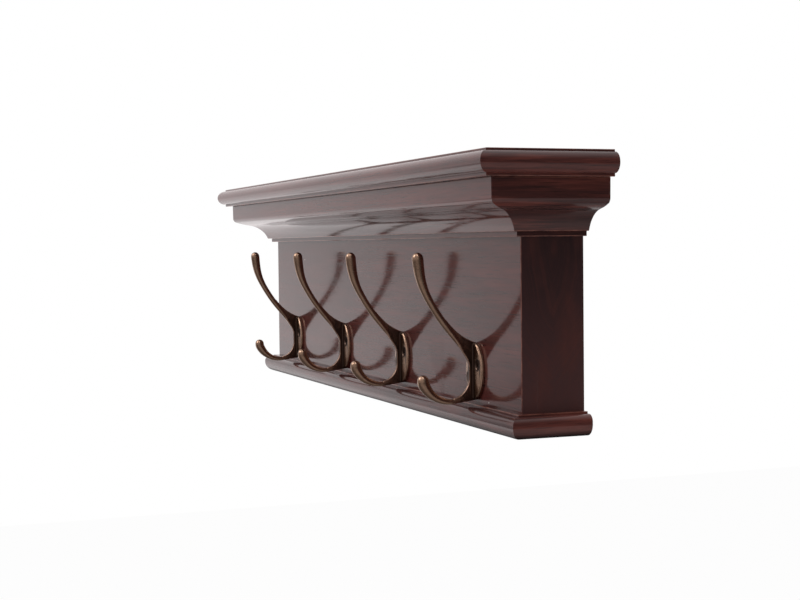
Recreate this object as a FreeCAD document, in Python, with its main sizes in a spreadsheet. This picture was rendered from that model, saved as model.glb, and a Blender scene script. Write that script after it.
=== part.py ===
import FreeCAD, Part

import math
import os

import Sketcher

# A wall-hung coat rack: two boards glued face to face under a bullnosed cap and a crown moulding, over a
# base moulding, with four cast double hooks on the front.
#
# Millimetres, +Z up. The wall is the plane Y = 0 and the front of the rack faces -Y. The origin is the
# centre of the back face, half way along and half way up.

PLAIN_SIZES = {
    # the panel, which is two boards thick
    "panel_length": 622.0,
    "overall_height": 200.0,
    "front_board_thickness": 24.5,
    "back_board_thickness": 24.5,
    # the cap, measured out from the panel
    "cap_thickness": 18.6,
    "cap_overhang": 54.0,
    "cap_bead_radius": 7.4,
    "cap_lower_fillet": 2.2,
    "cap_edge_width": 30.0,
    "tongue_length": 8.0,
    "tongue_thickness": 6.0,
    "tongue_end_gap": 0.3,
    "arris_radius": 0.6,
    # the crown and base mouldings
    "crown_height": 39.9,
    "crown_overhang": 40.2,
    "base_height": 17.3,
    "base_overhang": 12.9,
    # the hooks: a domed oval plate, a fin on it, and two prongs that grow round towards their tips
    "hook_end_inset": 78.5,
    "hook_above_base": 2.6,
    "plate_height": 43.2,
    "plate_width": 30.2,
    "plate_edge": 2.6,
    "plate_dome": 0.95,
    "plate_bevel": 1.5,
    "fin_thickness": 3.0,
    "upper_reach": 46.8,
    "upper_rise": 85.1,
    "upper_tip_radius": 4.3,
    "lower_reach": 43.4,
    "lower_drop": 22.05,
    "lower_tip_radius": 4.4,
    # the hook screws, on a diagonal across the plate
    "hook_screw_across": 8.4,
    "hook_screw_up": 4.9,
    "hook_screw_sink": 0.85,
    "hook_screw_length": 19.0,
    "hook_screw_radius": 1.75,
    "hook_screw_head_radius": 3.3,
    # the hanging plates in the back, below the cap and in from the ends, each with a keyhole and two screws
    "keyhole_end_inset": 111.0,
    "keyhole_drop": 39.4,
    "keyhole_plate_width": 19.0,
    "keyhole_plate_height": 50.0,
    "keyhole_plate_thickness": 1.8,
    "keyhole_entry_radius": 5.0,
    "keyhole_slot_radius": 2.5,
    "keyhole_travel": 13.0,
    "keyhole_slot_rise": 7.0,
    "keyhole_pocket_width": 14.0,
    "keyhole_pocket_depth": 8.0,
    "plate_screw_inset": 5.0,
    "plate_screw_length": 14.0,
    "plate_screw_radius": 1.5,
    "plate_screw_head_radius": 2.7,
    # the hidden fixings
    "dowel_radius": 4.0,
    "dowel_length": 30.0,
    "dowel_end_inset": 41.0,
    "pin_radius": 0.7,
    "pin_length": 28.0,
    "pin_cover": 1.9,
    "crown_pin_height": 8.5,
    # fits
    "fit_gap": 0.05,
    "head_gap": 0.12,
    "head_sink": 0.25,
    "hole_end_gap": 1.0,
}

HOOKS = 4
QUARTER_RISE_SHARE = 1 - math.cos(math.pi / 4)
COUNTERSINK_DEGREES = 90.0

# Outlines as shares of their height and overhang: (out, up, rise), where rise bows the edge that leads to
# the point, outwards when it is positive. The rise is a share of the height.
CROWN_SHARES = (
    (0.0, 0.0, 0.0),
    (0.132, 0.0, 0.0),
    (0.132, 0.085, 0.0),
    (0.221, 0.093, 0.0),
    (0.632, 0.464, -0.0765),
    (0.925, 0.549, 0.0070),
    (0.995, 0.654, 0.0185),
    (1.0, 1.0, 0.0),
    (0.0, 1.0, 0.0),
)
BASE_SHARES = (
    (0.0, 0.0, 0.0),
    (0.31, 0.0, 0.0),
    (1.0, 0.52, 0.152),
    (1.0, 0.62, 0.0),
    (0.575, 0.914, 0.088),
    (0.40, 0.914, 0.0),
    (0.40, 1.0, 0.0),
    (0.0, 1.0, 0.0),
)
# The oval plate: where its end arcs meet its side arcs, as shares of half its width and height.
OVAL_JOINT_SHARES = (0.616, 0.788)
# The cut that domes the plate is this many times as wide as the plate, and as deep as its round then needs.
DOME_SPREAD_SHARE = 1.2
# The ball at a prong's tip is a little smaller than the prong's end, and stands on it.
TIP_BALL_SHARE = 0.985
# The fin, as shares of upper_reach and upper_rise: its front edge up from the waist into the upper prong, back
# along the top, down behind the plate's face, out along the underside, and round the inner bend to the waist.
FIN_SHARES = (
    (0.2030, 0.1297, -0.0084),
    (0.5662, 0.4215, 0.0),
    (0.5342, 0.4618, 0.0),
    (0.3697, 0.3625, -0.0032),
    (0.0, 0.2503, -0.0136),
    (0.0, -0.2513, 0.0),
    (0.4060, -0.2762, 0.0031),
    (0.4060, -0.2341, 0.0),
    (0.1432, -0.0588, -0.0408),
    (0.1432, 0.0235, 0.0),
)
# Prong sections as shares: (reach, rise or drop, radius). The upper prong starts low on the fin's front edge.
UPPER_PRONG_SHARES = (
    (0.166, 0.139, 0.345),
    (0.371, 0.293, 0.505),
    (0.585, 0.443, 0.630),
    (0.805, 0.628, 0.655),
    (0.930, 0.780, 0.810),
    (0.988, 0.940, 0.985),
    (1.0, 1.0, 1.0),
)
LOWER_PRONG_SHARES = (
    (0.300, -0.985, 0.42),
    (0.410, -1.000, 0.43),
    (0.574, -1.000, 0.50),
    (0.726, -0.905, 0.61),
    (0.848, -0.751, 0.76),
    (0.933, -0.569, 0.91),
    (0.985, -0.400, 0.99),
    (1.0, -0.265, 1.0),
)
# The crosshead recess of a screw, as shares of its head radius.
RECESS_ARM_SHARE = 0.62
RECESS_HALF_WIDTH_SHARE = 0.15
RECESS_DEPTH_SHARE = 0.40
# Places along the panel, as shares of its length, of the pins in the front mouldings.
PIN_PLACE_SHARES = (-0.45, -0.27, -0.09, 0.09, 0.27, 0.45)
CROWN_PIN_HEAD_SHARE = 0.225


class Size:
    """A length and the formula on the sheet that gives it, so that one sum sets both."""

    def __init__(self, number, formula):
        self.number = number
        self.formula = formula

    def join(self, sign, other, number):
        return Size(number, "(%s %s %s)" % (self.formula, sign, other.formula))

    def __add__(self, other):
        return self.join("+", other, self.number + other.number)

    def __sub__(self, other):
        return self.join("-", other, self.number - other.number)

    def __neg__(self):
        return Size(-self.number, "(-%s)" % self.formula)

    def __mul__(self, factor):
        return Size(self.number * factor, "(%s * %.8g)" % (self.formula, factor))

    __rmul__ = __mul__

    def __truediv__(self, divisor):
        return Size(self.number / divisor, "(%s / %.8g)" % (self.formula, divisor))


NOTHING = Size(0.0, "0")
ORIGIN_POINT = (-1, 1)

doc = FreeCAD.newDocument("coat_rack")
sheet = doc.addObject("Spreadsheet::Sheet", "sizes")
size = {}
for row, (alias, number) in enumerate(PLAIN_SIZES.items(), start=1):
    sheet.set("A%d" % row, alias)
    sheet.set("B%d" % row, "%g" % number)
    sheet.setAlias("B%d" % row, alias)
    size[alias] = Size(number, "sizes." + alias)
doc.recompute()

# Levels and faces that several pieces share
half_length = size["panel_length"] / 2
panel_depth = size["front_board_thickness"] + size["back_board_thickness"]
top = size["overall_height"] / 2
bottom = -top
cap_bottom = top - size["cap_thickness"]
crown_bottom = cap_bottom - size["crown_height"]
base_top = bottom + size["base_height"]
hook_level = base_top + size["hook_above_base"] + size["plate_height"] / 2
plate_crown = size["plate_edge"] + size["plate_dome"]
board_inner = size["cap_overhang"] - size["cap_edge_width"]
groove_bottom = board_inner + size["tongue_length"] + size["tongue_end_gap"]
tongue_lower = (size["cap_thickness"] - size["tongue_thickness"]) / 2
tongue_upper = tongue_lower + size["tongue_thickness"]
parts = []


def bind(thing, path, amount):
    thing.setExpression(path, amount.formula)


def new_body(label):
    body = doc.addObject("PartDesign::Body", label)
    body.Label = label
    parts.append(body)
    return body


def attach(body, feature, plane, lift=NOTHING):
    """Lay a sketch or primitive on one of the body's own origin planes, lifted along its normal."""
    for candidate in body.Origin.OriginFeatures:
        if candidate.Role == plane:
            feature.AttachmentSupport = (candidate, "")
    feature.MapMode = "FlatFace"
    bind(feature, "AttachmentOffset.Base.z", lift)


def new_sketch(body, name, plane, lift=NOTHING):
    sketch = body.newObject("Sketcher::SketchObject", name)
    attach(body, sketch, plane, lift)
    return sketch


def constrain(sketch, rules):
    """Add constraints; a rule is a constraint and the size that drives it, or None."""
    numbers = sketch.addConstraint([rule for rule, amount in rules])
    for number, (rule, amount) in zip(numbers, rules):
        if amount is not None:
            bind(sketch, "Constraints[%d]" % number, amount)


def place_point(edge, end, across, up):
    """Rules that hold one end or centre of an edge at a place on the sketch."""
    return [
        (Sketcher.Constraint("DistanceX", *ORIGIN_POINT, edge, end, across.number), across),
        (Sketcher.Constraint("DistanceY", *ORIGIN_POINT, edge, end, up.number), up),
    ]


def draw_arc(sketch, start, finish, rise):
    """Draw an arc that bows by rise to the right of its chord, or to the left when rise is negative."""
    across = finish[0] - start[0]
    up = finish[1] - start[1]
    bow = rise if rise.number > 0 else -rise
    chord_squared = across.number ** 2 + up.number ** 2
    radius_formula = "((%s)^2 + (%s)^2) / (8 * %s) + %s / 2" % (
        across.formula, up.formula, bow.formula, bow.formula)
    radius = Size(chord_squared / (8 * bow.number) + bow.number / 2, radius_formula)
    chord = math.sqrt(chord_squared)
    inward = (radius.number - bow.number) * math.copysign(1, rise.number)
    centre = FreeCAD.Vector(
        (start[0].number + finish[0].number) / 2 - up.number / chord * inward,
        (start[1].number + finish[1].number) / 2 + across.number / chord * inward, 0)
    begin = math.atan2(start[1].number - centre.y, start[0].number - centre.x)
    end = math.atan2(finish[1].number - centre.y, finish[0].number - centre.x)
    if rise.number < 0:
        begin, end = end, begin
    if end < begin:
        end += 2 * math.pi
    circle = Part.Circle(centre, FreeCAD.Vector(0, 0, 1), radius.number)
    edge = sketch.addGeometry(Part.ArcOfCircle(circle, begin, end), False)
    ends = (1, 2) if rise.number > 0 else (2, 1)
    return edge, ends, [(Sketcher.Constraint("Radius", edge, radius.number), radius)]


def draw_outline(sketch, points):
    """Draw a closed outline through (across, up, rise) points, whose rise bows the edge that ends there."""
    edges = []
    rules = []
    for index, point in enumerate(points):
        start = points[index - 1]
        if abs(point[2].number) > 0:
            edge, ends, arc_rules = draw_arc(sketch, start, point, point[2])
            rules += arc_rules
        else:
            line = Part.LineSegment(
                FreeCAD.Vector(start[0].number, start[1].number, 0),
                FreeCAD.Vector(point[0].number, point[1].number, 0))
            edge, ends = sketch.addGeometry(line, False), (1, 2)
        edges.append((edge, ends))
        rules += place_point(edge, ends[1], point[0], point[1])
    for index, (edge, ends) in enumerate(edges):
        previous, previous_ends = edges[index - 1]
        rules.append((Sketcher.Constraint("Coincident", previous, previous_ends[1], edge, ends[0]), None))
    constrain(sketch, rules)


def draw_rectangle(sketch, left, low, right, high):
    corners = ((left, low), (right, low), (right, high), (left, high))
    draw_outline(sketch, [(across, up, NOTHING) for across, up in corners])


def draw_circles(sketch, centres, radius):
    rules = []
    for across, up in centres:
        centre = FreeCAD.Vector(across.number, up.number, 0)
        edge = sketch.addGeometry(Part.Circle(centre, FreeCAD.Vector(0, 0, 1), radius.number), False)
        rules += place_point(edge, 3, across, up)
        rules.append((Sketcher.Constraint("Radius", edge, radius.number), radius))
    constrain(sketch, rules)


def pad(body, sketch, length, symmetric=False):
    feature = body.newObject("PartDesign::Pad", sketch.Name + "_pad")
    feature.Profile = sketch
    feature.SideType = "Symmetric" if symmetric else "One side"
    bind(feature, "Length", length)
    return feature


def pocket(body, sketch, depth, symmetric=False, along_normal=False):
    feature = body.newObject("PartDesign::Pocket", sketch.Name + "_pocket")
    feature.Profile = sketch
    feature.SideType = "Symmetric" if symmetric else "One side"
    feature.Reversed = along_normal
    bind(feature, "Length", depth)
    return feature


def drill(body, name, plane, lift, centres, radius, depth, along_normal=False):
    """Cut round holes at (across, up) centres, starting from a plane lifted to the face they enter."""
    sketch = new_sketch(body, name, plane, lift)
    draw_circles(sketch, centres, radius)
    return pocket(body, sketch, depth, along_normal=along_normal)


def soften(body, kind, name, feature, wanted, path, amount):
    """Fillet or chamfer those edges of a feature that pass the test."""
    doc.recompute()
    edges = ["Edge%d" % number for number, edge in enumerate(feature.Shape.Edges, start=1)
             if wanted(edge)]
    result = body.newObject("PartDesign::" + kind, name)
    result.Base = (feature, edges)
    bind(result, path, amount)
    return result


def near(first, second):
    return abs(first - second) < size["fit_gap"].number


# Places of the fixings, each used for the fixing and for its holes
end_hook_place = half_length - size["hook_end_inset"]
hook_places = [end_hook_place * (number / (HOOKS - 1) * 2 - 1) for number in range(HOOKS)]
hook_screw_places = [
    (place + size["hook_screw_across"] * side, hook_level + size["hook_screw_up"] * side)
    for place in hook_places for side in (-1, 1)]
front_pin_places = [size["panel_length"] * share for share in PIN_PLACE_SHARES]
side_pin_places = [-size["back_board_thickness"] / 2,
                   -size["back_board_thickness"] - size["front_board_thickness"] / 2]
crown_pin_level = crown_bottom + size["crown_pin_height"]
base_pin_level = bottom + size["base_height"] / 2
crown_pin_head = size["crown_overhang"] * CROWN_PIN_HEAD_SHARE
base_pin_head = size["base_overhang"] - size["pin_cover"]
pin_rows = [("crown", crown_pin_level, crown_pin_head), ("base", base_pin_level, base_pin_head)]
pin_hole_radius = size["pin_radius"] + size["fit_gap"]
dowel_hole_radius = size["dowel_radius"] + size["fit_gap"]
dowel_in_cap = size["cap_thickness"] / 2
end_dowel_place = half_length - size["dowel_end_inset"]
dowel_places = [(end_dowel_place * step, y) for y in side_pin_places for step in (-1, 0, 1)]
keyhole_place = half_length - size["keyhole_end_inset"]
keyhole_places = [("left", -keyhole_place), ("right", keyhole_place)]
keyhole_level = cap_bottom - size["keyhole_drop"]
plate_screw_rise = size["keyhole_plate_height"] / 2 - size["plate_screw_inset"]
slot_top_level = keyhole_level + size["keyhole_slot_rise"]
keyhole_entry_level = slot_top_level - size["keyhole_travel"]


def cut_pin_holes_in_boards(body, board_name, places):
    """Holes that the side pins leave in the two ends of a board, at the y of its own pins."""
    for row, level, head in pin_rows:
        depth = size["pin_length"] - head + size["hole_end_gap"]
        centres = [(place, level) for place in places]
        drill(body, "%s_right_%s_pins" % (board_name, row), "YZ_Plane", half_length, centres,
              pin_hole_radius, depth)
        drill(body, "%s_left_%s_pins" % (board_name, row), "YZ_Plane", -half_length, centres,
              pin_hole_radius, depth, along_normal=True)


def make_board(label, front, back):
    """One of the panel's boards, from the bottom up to the cap."""
    body = new_body(label)
    sketch = new_sketch(body, label + "_plan", "XY_Plane", bottom)
    draw_rectangle(sketch, -half_length, front, half_length, back)
    pad(body, sketch, size["overall_height"] - size["cap_thickness"])
    return body


def make_front_board():
    body = make_board("front_board", -panel_depth, -size["back_board_thickness"])
    for row, level, head in pin_rows:
        drill(body, "front_%s_pins" % row, "XZ_Plane", panel_depth,
              [(place, level) for place in front_pin_places], pin_hole_radius,
              size["pin_length"] - head + size["hole_end_gap"])
    cut_pin_holes_in_boards(body, "front", side_pin_places[1:])
    drill(body, "hook_screw_holes", "XZ_Plane", panel_depth, hook_screw_places,
          size["hook_screw_radius"] + size["fit_gap"], size["hook_screw_length"])
    drill(body, "front_dowel_holes", "XY_Plane", cap_bottom, dowel_places[3:], dowel_hole_radius,
          size["dowel_length"] - dowel_in_cap + size["hole_end_gap"])


def draw_stadium(sketch, centre, low, high, half_width):
    """An upright slot with round ends, whose end arcs are centred at the two levels."""
    rise = half_width * QUARTER_RISE_SHARE
    draw_outline(sketch, [
        (centre - half_width, low, NOTHING),
        (centre, low - half_width, rise),
        (centre + half_width, low, rise),
        (centre + half_width, high, NOTHING),
        (centre, high + half_width, rise),
        (centre - half_width, high, rise),
    ])


def make_back_board():
    body = make_board("back_board", -size["back_board_thickness"], NOTHING)
    cut_pin_holes_in_boards(body, "back", side_pin_places[:1])
    drill(body, "back_dowel_holes", "XY_Plane", cap_bottom, dowel_places[:3], dowel_hole_radius,
          size["dowel_length"] - dowel_in_cap + size["hole_end_gap"])
    screw_depth = size["plate_screw_length"] + size["hole_end_gap"]
    for side, place in keyhole_places:
        half_width = size["keyhole_plate_width"] / 2
        seat = new_sketch(body, side + "_plate_seat", "XZ_Plane")
        draw_stadium(seat, place, keyhole_level - size["keyhole_plate_height"] / 2 + half_width,
                     keyhole_level + size["keyhole_plate_height"] / 2 - half_width,
                     half_width + size["fit_gap"])
        pocket(body, seat, size["keyhole_plate_thickness"], along_normal=True)
        room = new_sketch(body, side + "_head_room", "XZ_Plane")
        draw_stadium(room, place, keyhole_entry_level, slot_top_level,
                     size["keyhole_pocket_width"] / 2)
        pocket(body, room, size["keyhole_plate_thickness"] + size["keyhole_pocket_depth"],
               along_normal=True)
        centres = [(place, keyhole_level + plate_screw_rise),
                   (place, keyhole_level - plate_screw_rise)]
        drill(body, side + "_plate_screw_holes", "XZ_Plane", NOTHING, centres,
              size["plate_screw_radius"] + size["fit_gap"], screw_depth, along_normal=True)


def make_top_board():
    """The middle of the cap, with a tongue on the three edges that the edging covers."""
    body = new_body("top_board")
    plan = new_sketch(body, "top_board_plan", "XY_Plane", cap_bottom)
    reach = half_length + board_inner
    draw_rectangle(plan, -reach, -(panel_depth + board_inner), reach, NOTHING)
    pad(body, plan, size["cap_thickness"])
    tongue = new_sketch(body, "tongue_plan", "XY_Plane", cap_bottom + tongue_lower)
    tongue_reach = reach + size["tongue_length"]
    draw_rectangle(tongue, -tongue_reach, -(panel_depth + board_inner + size["tongue_length"]),
                   tongue_reach, NOTHING)
    pad(body, tongue, size["tongue_thickness"])
    drill(body, "cap_dowel_holes", "XY_Plane", cap_bottom, dowel_places, dowel_hole_radius,
          dowel_in_cap + size["hole_end_gap"], along_normal=True)


def scaled_outline(shares, height, overhang):
    return [(overhang * out, height * up, height * rise) for out, up, rise in shares]


def cap_edge_outline():
    """The edging's section: a lower fillet, a round bead, an upper fillet, and the groove behind."""
    radius = size["cap_bead_radius"]
    arris = size["arris_radius"]
    fillet = size["cap_overhang"] - radius
    bead_low = size["cap_lower_fillet"]
    round_rise = radius * QUARTER_RISE_SHARE
    arris_rise = arris * QUARTER_RISE_SHARE
    groove_low = tongue_lower - size["fit_gap"]
    groove_high = tongue_upper + size["fit_gap"]
    return [
        (board_inner, NOTHING, NOTHING),
        (fillet - arris, NOTHING, NOTHING),
        (fillet, arris, arris_rise),
        (fillet, bead_low, NOTHING),
        (size["cap_overhang"], bead_low + radius, round_rise),
        (fillet, bead_low + radius * 2, round_rise),
        (fillet, size["cap_thickness"] - arris, NOTHING),
        (fillet - arris, size["cap_thickness"], arris_rise),
        (board_inner, size["cap_thickness"], NOTHING),
        (board_inner, groove_high, NOTHING),
        (groove_bottom, groove_high, NOTHING),
        (groove_bottom, groove_low, NOTHING),
        (board_inner, groove_low, NOTHING),
    ]


def cut_mitre(body, label, side, keep_front, reach):
    """Cut a piece at 45 degrees through the panel's front corner, keeping its front or its return."""
    inside = ((half_length - reach) * side, -(panel_depth - reach))
    outside = ((half_length + reach) * side, -(panel_depth + reach))
    waste = (outside[0], inside[1]) if keep_front else (inside[0], outside[1])
    sketch = new_sketch(body, label, "XY_Plane")
    draw_outline(sketch, [(across, up, NOTHING) for across, up in (inside, waste, outside)])
    pocket(body, sketch, size["overall_height"] * 2, symmetric=True)


def make_moulding(label, outline, level, overhang, pin_row=None):
    """A moulding round the front and both ends: one front piece and two returns, cut long and mitred."""
    spare = overhang * 2
    reach = overhang * 3
    front = new_body(label + "_front")
    section = new_sketch(front, label + "_front_section", "YZ_Plane")
    draw_outline(section, [(-(panel_depth + out), level + up, -rise) for out, up, rise in outline])
    pad(front, section, (half_length + spare) * 2, symmetric=True)
    for side, name in ((-1, "left"), (1, "right")):
        cut_mitre(front, "%s_front_%s_mitre" % (label, name), side, True, reach)
    if pin_row:
        drill(front, label + "_front_pins", "XZ_Plane", panel_depth,
              [(place, pin_row[1]) for place in front_pin_places], pin_hole_radius,
              pin_row[2] + size["fit_gap"], along_normal=True)
    for side, name in ((-1, "left"), (1, "right")):
        body = new_body("%s_%s" % (label, name))
        section = new_sketch(body, "%s_%s_section" % (label, name), "XZ_Plane")
        draw_outline(section, [((half_length + out) * side, level + up, rise * side)
                               for out, up, rise in outline])
        pad(body, section, panel_depth + spare)
        cut_mitre(body, "%s_%s_mitre" % (label, name), side, False, reach)
        if pin_row:
            drill(body, "%s_%s_pins" % (label, name), "YZ_Plane", half_length * side,
                  [(place, pin_row[1]) for place in side_pin_places], pin_hole_radius,
                  pin_row[2] + size["fit_gap"], along_normal=side > 0)


def draw_oval(sketch, half_width, half_height):
    """An oval of four arcs, taller than wide."""
    across = half_width * OVAL_JOINT_SHARES[0]
    up = half_height * OVAL_JOINT_SHARES[1]
    end_rise = half_height - up
    side_rise = half_width - across
    draw_outline(sketch, [
        (across, -up, end_rise),
        (across, up, side_rise),
        (-across, up, end_rise),
        (-across, -up, side_rise),
    ])


def make_plate(body, name):
    """The oval plate: its front rim is bevelled, and then its face is domed across its width."""
    half_width = size["plate_width"] / 2
    sketch = new_sketch(body, name + "_plate", "XZ_Plane")
    draw_oval(sketch, half_width, size["plate_height"] / 2)
    plate = pad(body, sketch, plate_crown)
    front = -plate_crown.number

    def on_front(edge):
        return near(edge.BoundBox.YMin, front) and near(edge.BoundBox.YMax, front)

    soften(body, "Chamfer", name + "_plate_bevel", plate, on_front, "Size", size["plate_bevel"])
    waste = new_sketch(body, name + "_dome", "XY_Plane")
    spread = half_width * DOME_SPREAD_SHARE
    dome_rise = size["plate_dome"] * (DOME_SPREAD_SHARE * DOME_SPREAD_SHARE)
    draw_outline(waste, [
        (-spread, -(plate_crown - dome_rise), NOTHING),
        (spread, -(plate_crown - dome_rise), dome_rise),
        (spread, -plate_crown * 2, NOTHING),
        (-spread, -plate_crown * 2, NOTHING),
    ])
    pocket(body, waste, size["plate_height"] * 2, symmetric=True)


def make_fin(body, name):
    """The upright fin that carries both prongs, with a rounded front edge."""
    outline = [(-(size["upper_reach"] * out), size["upper_rise"] * up, -(size["upper_rise"] * rise))
               for out, up, rise in FIN_SHARES]
    sketch = new_sketch(body, name + "_fin", "YZ_Plane")
    draw_outline(sketch, outline)
    pad(body, sketch, size["fin_thickness"], symmetric=True)


def make_prong(body, name, shares, reach, rise, tip_radius):
    """A prong lofted through circles square to its centre line, with a domed tip."""
    sections = []
    for index, (out, up, round_share) in enumerate(shares):
        before = shares[max(index - 1, 0)]
        after = shares[min(index + 1, len(shares) - 1)]
        outwards = (after[0] - before[0]) * reach.number
        upwards = (after[1] - before[1]) * rise.number
        section = new_sketch(body, "%s_section_%d" % (name, index + 1), "XY_Plane")
        tilt = math.degrees(math.atan2(outwards, upwards))
        section.AttachmentOffset = FreeCAD.Placement(
            FreeCAD.Vector(0, -reach.number * out, rise.number * up),
            FreeCAD.Rotation(FreeCAD.Vector(1, 0, 0), tilt))
        bind(section, "AttachmentOffset.Base.y", -(reach * out))
        bind(section, "AttachmentOffset.Base.z", rise * up)
        draw_circles(section, [(NOTHING, NOTHING)], tip_radius * round_share)
        sections.append(section)
    loft = body.newObject("PartDesign::AdditiveLoft", name + "_loft")
    loft.Profile = sections[0]
    loft.Sections = sections[1:]
    tip = body.newObject("PartDesign::AdditiveSphere", name + "_tip")
    attach(body, tip, "XY_Plane", rise * shares[-1][1])
    bind(tip, "AttachmentOffset.Base.y", -(reach * shares[-1][0]))
    bind(tip, "Radius", tip_radius * TIP_BALL_SHARE)


def make_hook(number, place):
    name = "hook_%d" % number
    body = new_body(name)
    make_plate(body, name)
    make_fin(body, name)
    make_prong(body, name + "_upper", UPPER_PRONG_SHARES, size["upper_reach"], size["upper_rise"],
               size["upper_tip_radius"])
    make_prong(body, name + "_lower", LOWER_PRONG_SHARES, size["lower_reach"], size["lower_drop"],
               size["lower_tip_radius"])
    holes = new_sketch(body, name + "_screw_places", "XZ_Plane", plate_crown)
    centres = [(size["hook_screw_across"] * side, size["hook_screw_up"] * side) for side in (-1, 1)]
    draw_circles(holes, centres, size["hook_screw_radius"])
    doc.recompute()
    hole = body.newObject("PartDesign::Hole", name + "_screw_holes")
    hole.Profile = holes
    hole.DepthType = "ThroughAll"
    hole.HoleCutType = "Countersink"
    hole.HoleCutCustomValues = True
    hole.HoleCutCountersinkAngle = COUNTERSINK_DEGREES
    bind(hole, "Diameter", (size["hook_screw_radius"] + size["head_gap"]) * 2)
    bind(hole, "HoleCutDiameter",
         (size["hook_screw_head_radius"] + size["hook_screw_sink"] + size["head_gap"]) * 2)
    bind(body, "Placement.Base.x", place)
    bind(body, "Placement.Base.y", -panel_depth)
    bind(body, "Placement.Base.z", hook_level)


def make_screw(name, radius, head_radius, length):
    """A countersunk wood screw with a crosshead, pointing along +Y from the middle of its head."""
    body = doc.addObject("PartDesign::Body", name)
    side_view = new_sketch(body, name + "_side", "YZ_Plane")
    draw_outline(side_view, [
        (NOTHING, NOTHING, NOTHING),
        (length, NOTHING, NOTHING),
        (length - radius * 2, radius, NOTHING),
        (head_radius - radius, radius, NOTHING),
        (NOTHING, head_radius, NOTHING),
    ])
    turned = body.newObject("PartDesign::Revolution", name + "_turned")
    turned.Profile = side_view
    turned.ReferenceAxis = (side_view, ["H_Axis"])
    arm = head_radius * RECESS_ARM_SHARE
    half = head_radius * RECESS_HALF_WIDTH_SHARE
    corners = [(half, half), (arm, half), (arm, -half), (half, -half), (half, -arm), (-half, -arm),
               (-half, -half), (-arm, -half), (-arm, half), (-half, half), (-half, arm), (half, arm)]
    recess = new_sketch(body, name + "_recess", "XZ_Plane")
    draw_outline(recess, [(across, up, NOTHING) for across, up in corners])
    pocket(body, recess, head_radius * RECESS_DEPTH_SHARE)
    return body


def group(label, members):
    """Several separate solids that share one label."""
    compound = doc.addObject("Part::Compound", label)
    compound.Label = label
    compound.Links = members
    parts.append(compound)


def make_hook_screws():
    face = -(panel_depth + plate_crown - size["hook_screw_sink"])
    screws = []
    for number, (across, up) in enumerate(hook_screw_places, start=1):
        screw = make_screw("hook_screw_%d" % number, size["hook_screw_radius"],
                           size["hook_screw_head_radius"], size["hook_screw_length"])
        bind(screw, "Placement.Base.x", across)
        bind(screw, "Placement.Base.y", face)
        bind(screw, "Placement.Base.z", up)
        screws.append(screw)
    group("hook_screws", screws)


def make_keyhole_plate(side, place):
    """A steel plate with round ends, a keyhole that narrows upwards, and two countersunk holes."""
    body = new_body("keyhole_plate_" + side)
    thickness = size["keyhole_plate_thickness"]
    half_width = size["keyhole_plate_width"] / 2
    plan = new_sketch(body, side + "_plate_plan", "XZ_Plane")
    draw_stadium(plan, place, keyhole_level - size["keyhole_plate_height"] / 2 + half_width,
                 keyhole_level + size["keyhole_plate_height"] / 2 - half_width, half_width)
    pad(body, plan, thickness)
    drill(body, side + "_entry", "XZ_Plane", NOTHING, [(place, keyhole_entry_level)],
          size["keyhole_entry_radius"], thickness, along_normal=True)
    slot = new_sketch(body, side + "_slot", "XZ_Plane")
    draw_stadium(slot, place, keyhole_entry_level, slot_top_level, size["keyhole_slot_radius"])
    pocket(body, slot, thickness, along_normal=True)
    holes = new_sketch(body, side + "_plate_screw_places", "XZ_Plane")
    centres = [(place, keyhole_level + plate_screw_rise * step) for step in (-1, 1)]
    draw_circles(holes, centres, size["plate_screw_radius"])
    doc.recompute()
    hole = body.newObject("PartDesign::Hole", side + "_plate_holes")
    hole.Profile = holes
    hole.Reversed = True
    hole.DepthType = "ThroughAll"
    hole.HoleCutType = "Countersink"
    hole.HoleCutCustomValues = True
    hole.HoleCutCountersinkAngle = COUNTERSINK_DEGREES
    bind(hole, "Diameter", (size["plate_screw_radius"] + size["head_gap"]) * 2)
    bind(hole, "HoleCutDiameter",
         (size["plate_screw_head_radius"] + size["head_sink"] + size["head_gap"]) * 2)


def make_plate_screws():
    screws = []
    for side, place in keyhole_places:
        for step in (-1, 1):
            screw = make_screw("plate_screw_%d" % (len(screws) + 1), size["plate_screw_radius"],
                               size["plate_screw_head_radius"], size["plate_screw_length"])
            screw.Placement = FreeCAD.Placement(
                FreeCAD.Vector(0, 0, 0), FreeCAD.Rotation(FreeCAD.Vector(0, 0, 1), 180))
            bind(screw, "Placement.Base.x", place)
            bind(screw, "Placement.Base.y", -size["head_sink"])
            bind(screw, "Placement.Base.z", keyhole_level + plate_screw_rise * step)
            screws.append(screw)
    group("plate_screws", screws)


def make_rod(name, radius, length, direction, start):
    """A plain round rod from its start point along a direction."""
    rod = doc.addObject("Part::Cylinder", name)
    bind(rod, "Radius", radius)
    bind(rod, "Height", length)
    rod.Placement = FreeCAD.Placement(
        FreeCAD.Vector(0, 0, 0), FreeCAD.Rotation(FreeCAD.Vector(0, 0, 1), direction))
    for axis, amount in zip("xyz", start):
        bind(rod, "Placement.Base." + axis, amount)
    return rod


def make_dowels():
    low = cap_bottom + dowel_in_cap - size["dowel_length"]
    upwards = FreeCAD.Vector(0, 0, 1)
    group("cap_dowels", [
        make_rod("dowel_%d" % number, size["dowel_radius"], size["dowel_length"], upwards, (x, y, low))
        for number, (x, y) in enumerate(dowel_places, start=1)])


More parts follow.
